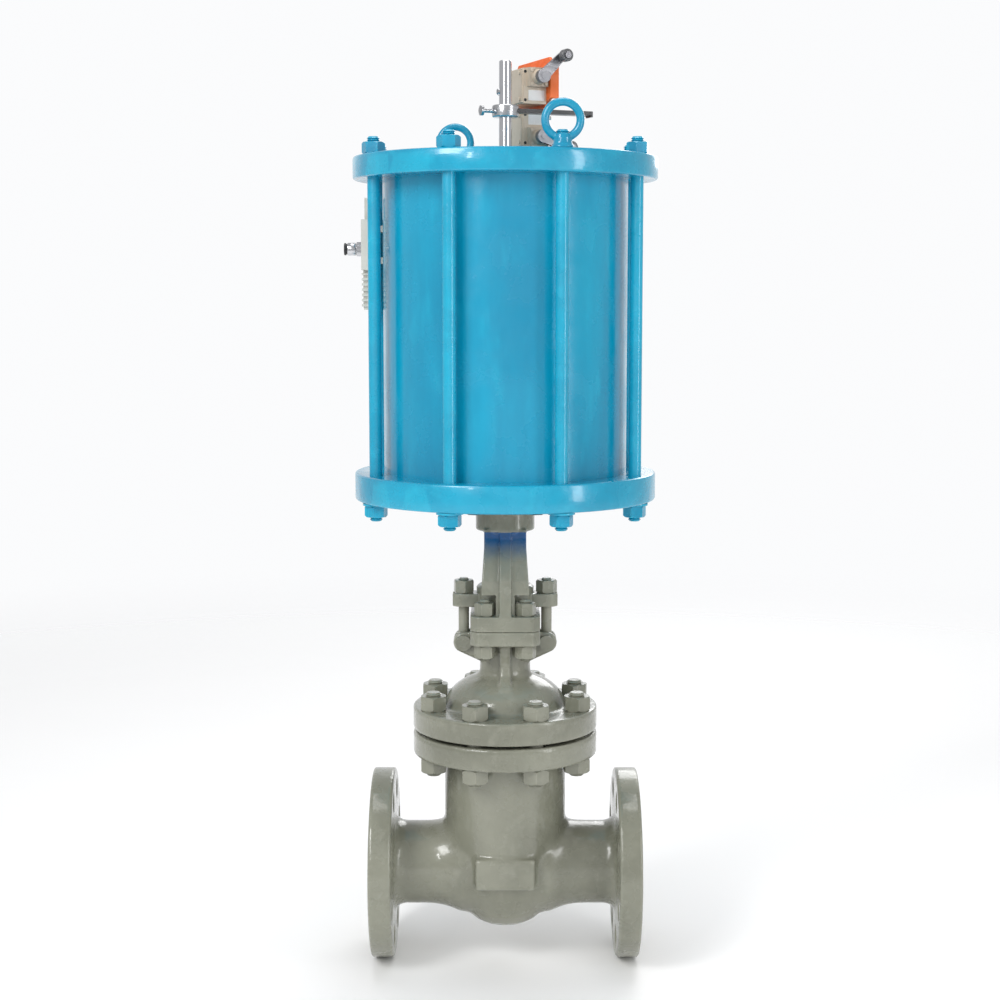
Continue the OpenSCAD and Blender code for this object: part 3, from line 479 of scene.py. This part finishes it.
CASTINGS = (  # piece, CAD node, material, slot, voxel in mm, smoothing rounds, fillets and their rounds
    ("cast_body", "valve_body", "valve_casting", "valve_casting", 1.9, 2, body_fillets, 44),
    ("cast_bonnet", "bonnet", "valve_casting", "valve_casting", 1.4, 2, bonnet_fillets, 9),
    ("cast_yoke", "yoke", "yoke_casting", "valve_casting", 0.9, 3, None, 0),
    ("forged_eye_nuts", "eye_nuts", "actuator_paint", "actuator_paint", 0.6, 4, None, 0),
    ("forged_gland_flange", "gland_flange", "valve_casting", "valve_casting", 0.7, 3, None, 0),
)


def cast_parts():
    for name, node, mat, slot, voxel, rounds, fillets, fillet_rounds in CASTINGS:
        mesh = remeshed(node, voxel * MM, rounds, fillets, fillet_rounds)
        piece(name, mesh, FIXED, mat, slot, node)


def stud(low, high, size, pitch, threaded):
    """Profile of a metric stud threaded over both ends; size, pitch and threaded are in mm."""
    return threaded_rod(size / 2 * MM, low.z, high.z, pitch * MM, threaded * MM, threaded * MM)


def all_studs():
    bonnet_circle, bonnet_start = 150 * MM, math.radians(22.5)
    tie_rod_circle = 264 * MM
    yoke_x, yoke_y = 19.5 * MM, 33 * MM
    yoke_spots = [(sx * yoke_x, sy * yoke_y) for sx in (-1, 1) for sy in (-1, 1)]
    low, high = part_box("bonnet_studs")
    bonnet_rods = rods(ring_spots(bonnet_circle, 8, bonnet_start), stud(low, high, 16, 2, 20))
    piece("bonnet_stud_bolts", bonnet_rods, FIXED, "valve_fasteners", "valve_fasteners", "bonnet_studs")
    low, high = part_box("yoke_studs")
    yoke_rods = rods(yoke_spots, stud(low, high, 12, 1.75, 17))
    piece("yoke_stud_bolts", yoke_rods, FIXED, "valve_fasteners", "valve_fasteners", "yoke_studs")
    low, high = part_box("tie_rods")
    bars = rods(ring_spots(tie_rod_circle, 8, TURN), stud(low, high, 12, 1.75, 17))
    piece("tie_rod_bars", bars, FIXED, "actuator_paint", "actuator_paint", "tie_rods")


def eye_bolts():
    """Two gland eye bolts: a forged ring on the pin, and a shank with its upper end threaded."""
    low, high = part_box("gland_eye_bolts")
    ring, pin, shank = 7.2 * MM, 4.0 * MM, 5.2 * MM  # radii
    half, edge = 5.0 * MM, 0.6 * MM  # half the ring's thickness, and the chamfer of its edges
    shank_foot, pitch, threaded = 5.5 * MM, 1.5 * MM, 25 * MM
    middle = low.z + ring
    reach = high.x - ring
    loop = [(pin, edge - half), (pin + edge, -half), (ring - edge, -half), (ring, edge - half),
            (ring, half - edge), (ring - edge, half), (pin + edge, half), (pin, half - edge),
            (pin, edge - half)]
    rod = threaded_rod(shank, middle + shank_foot, high.z, pitch, 0, threaded)
    bm = bmesh.new()
    for side in (-1, 1):
        lathe(bm, rod, Matrix.Translation((side * reach, 0, 0)))
        lathe(bm, loop, Matrix.Translation((side * reach, 0, middle)) @ Matrix.Rotation(math.pi / 2, 4, "X"))
    bmesh.ops.remove_doubles(bm, verts=bm.verts, dist=0.001 * MM)
    piece("gland_eye_bolt_pair", from_bmesh(bm), FIXED,
          "valve_fasteners", "valve_fasteners", "gland_eye_bolts")


def coil_spring():
    """The return spring as one smooth helix.
    """
    low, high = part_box("return_spring")
    wire, radius = 5 * MM, 70 * MM  # the wire's own radius, and that of the coil
    turns, steps, sides = 7, 40, 14  # steps in each turn, and sides around the wire
    bottom, top = low.z + wire, high.z - wire
    count = turns * steps
    bm = bmesh.new()
    rings = []
    for i in range(count + 1):
        a = 2 * math.pi * i / steps
        height = bottom + (top - bottom) * i / count
        rings.append([])
        for k in range(sides):
            b = 2 * math.pi * k / sides
            r = radius + wire * math.cos(b)
            rings[-1].append(bm.verts.new((r * math.cos(a), r * math.sin(a), height + wire * math.sin(b))))
    for lower, upper in zip(rings, rings[1:]):
        for k in range(sides):
            bm.faces.new((lower[k], lower[(k + 1) % sides], upper[(k + 1) % sides], upper[k]))
    bm.faces.new(rings[0])
    bm.faces.new(rings[-1])
    spring = piece("coil_spring", from_bmesh(bm), FIXED, "spring_steel", "spring_steel", "return_spring")
    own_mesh(spring)


def plate(bm, size, place, rounding):
    """Adds a small plate with rounded edges, centred on place."""
    made = bmesh.ops.create_cube(bm, size=1, matrix=place @ Matrix.Diagonal((*size, 1)))
    edges = list({edge for vertex in made["verts"] for edge in vertex.link_edges})
    bmesh.ops.bevel(bm, geom=edges, offset=rounding, segments=2, affect="EDGES")


def in_cylinder_frame(x, y, z):
    """A place in the turned frame of the cylinder, in mm, with its height taken from the top cover."""
    return Matrix.Rotation(TURN, 4, "Z") @ Matrix.Translation((x * MM, y * MM, COVER_Z + z * MM))


def switch_trim(name, level, side):
    """Blank label, and black discs as painted shade in the mouths of two mounting holes, on the front of a
    switch.

    level is the height of its middle above the top cover in mm, and side is 1 with the shaft above the
    middle or -1 with it below.
    """
    front, label_x, hole_x = 26, 43.5, 31.8
    label_size, rounding = (17 * MM, 0.5 * MM, 10 * MM), 0.15 * MM
    label_place = in_cylinder_frame(label_x, front - 0.2, level - side * 9)
    label = bmesh.new()
    plate(label, label_size, label_place, rounding)
    piece(name + "_blank_label", from_bmesh(label), FIXED, "switch_label", "switch_shell")
    # painted shade: a black disc stands in each hole mouth where the hole would be dark
    shade_disc_profile = [(0, -0.3), (1.5, -0.3), (1.5, 0.1), (1.3, 0.25), (1.0, 0.1), (0, 0.1)]
    holes = bmesh.new()
    for height in (-13.5, 13.5):
        place = in_cylinder_frame(hole_x, front, level + height) @ Matrix.Rotation(math.pi / 2, 4, "X")
        lathe(holes, [(r * MM, z * MM) for r, z in shade_disc_profile], place, 24)
    piece(name + "_hole_shade_discs", from_bmesh(holes), FIXED, "black_plastic", "black_plastic")


cast_parts()
all_studs()
eye_bolts()
coil_spring()
switch_trim("upper_switch", 72, 1)
switch_trim("lower_switch", 31, -1)


# ---------------------------------------------------------------- stage

def add_floor():
    """A pale floor that fades out with distance from the object."""
    fade_from, fade_to = 0.7, 2.6
    bpy.ops.mesh.primitive_plane_add(size=30, location=(0, 0, foot_of("valve_body")))
    floor = bpy.context.object
    floor.name = "floor"
    s = Shader("floor").set(Roughness=0.6)
    s.colour(s.blend(s.noise(3), (0.93, 0.93, 0.93), (0.96, 0.96, 0.96)))
    reach = s.new("ShaderNodeVectorMath", operation="LENGTH")
    s.link(s.place, reach.inputs[0])
    fade = s.remap(reach.outputs["Value"], fade_from, fade_to)
    mix = s.new("ShaderNodeMixShader")
    s.link(fade, mix.inputs["Fac"])
    s.link(s.bsdf.outputs["BSDF"], mix.inputs[1])
    s.link(s.new("ShaderNodeBsdfTransparent").outputs["BSDF"], mix.inputs[2])
    s.link(mix.outputs["Shader"], s.tree.nodes["Material Output"].inputs["Surface"])
    wear(floor, s.mat)


def studio():
    """A pale world, brightest behind the object, where it is the background."""
    world = bpy.data.worlds.new("studio")
    bpy.context.scene.world = world
    world.use_nodes = True
    tree = world.node_tree
    direction = tree.nodes.new("ShaderNodeSeparateXYZ")
    tree.links.new(tree.nodes.new("ShaderNodeTexCoord").outputs["Generated"], direction.inputs[0])
    strength = tree.nodes.new("ShaderNodeMapRange")
    strength.interpolation_type = "SMOOTHSTEP"
    for key, number in (("From Min", 0.60), ("From Max", 0.94), ("To Min", 0.52), ("To Max", 0.98)):
        strength.inputs[key].default_value = number
    tree.links.new(direction.outputs["Y"], strength.inputs["Value"])
    tree.links.new(strength.outputs["Result"], tree.nodes["Background"].inputs["Strength"])
    tree.nodes["Background"].inputs["Color"].default_value = (0.985, 0.99, 1.0, 1.0)
    bpy.context.scene.view_settings.view_transform = "Standard"


def area_light(name, place, width, height, power, glossy=True):
    """A rectangular light that points at the middle of the object."""
    middle = Vector((0, 0, 0.38))
    data = bpy.data.lights.new(name, "AREA")
    data.energy = power
    data.shape = "RECTANGLE"
    data.size = width
    data.size_y = height
    lamp = bpy.data.objects.new(name, data)
    lamp.visible_glossy = glossy
    lamp.location = place
    lamp.rotation_euler = (middle - Vector(place)).to_track_quat("-Z", "Y").to_euler()
    bpy.context.scene.collection.objects.link(lamp)


def lights():
    area_light("key", (-1.3, -1.5, 1.7), 0.7, 1.0, 26)
    area_light("glint", (-0.9, -1.9, 1.1), 0.12, 0.5, 4)
    area_light("right_strip", (1.5, -1.1, 0.7), 0.25, 1.4, 8)
    area_light("fill", (0.3, -2.6, 0.5), 2.2, 2.2, 16, glossy=False)
    area_light("top", (0, 0.1, 2.3), 1.0, 1.0, 12)
    area_light("back", (0.6, 2.2, 1.4), 1.2, 1.2, 16)


def camera():
    """The camera that was fitted to the photograph."""
    tilt = 6.45  # degrees below level
    data = bpy.data.cameras.new("camera")
    data.sensor_width = 36
    data.lens = 65.23
    eye = bpy.data.objects.new("camera", data)
    eye.location = (-0.005, -1.750, 0.559)
    eye.rotation_euler = (math.radians(90 - tilt), 0, 0)
    bpy.context.scene.collection.objects.link(eye)
    bpy.context.scene.camera = eye


add_floor()
studio()
lights()
camera()
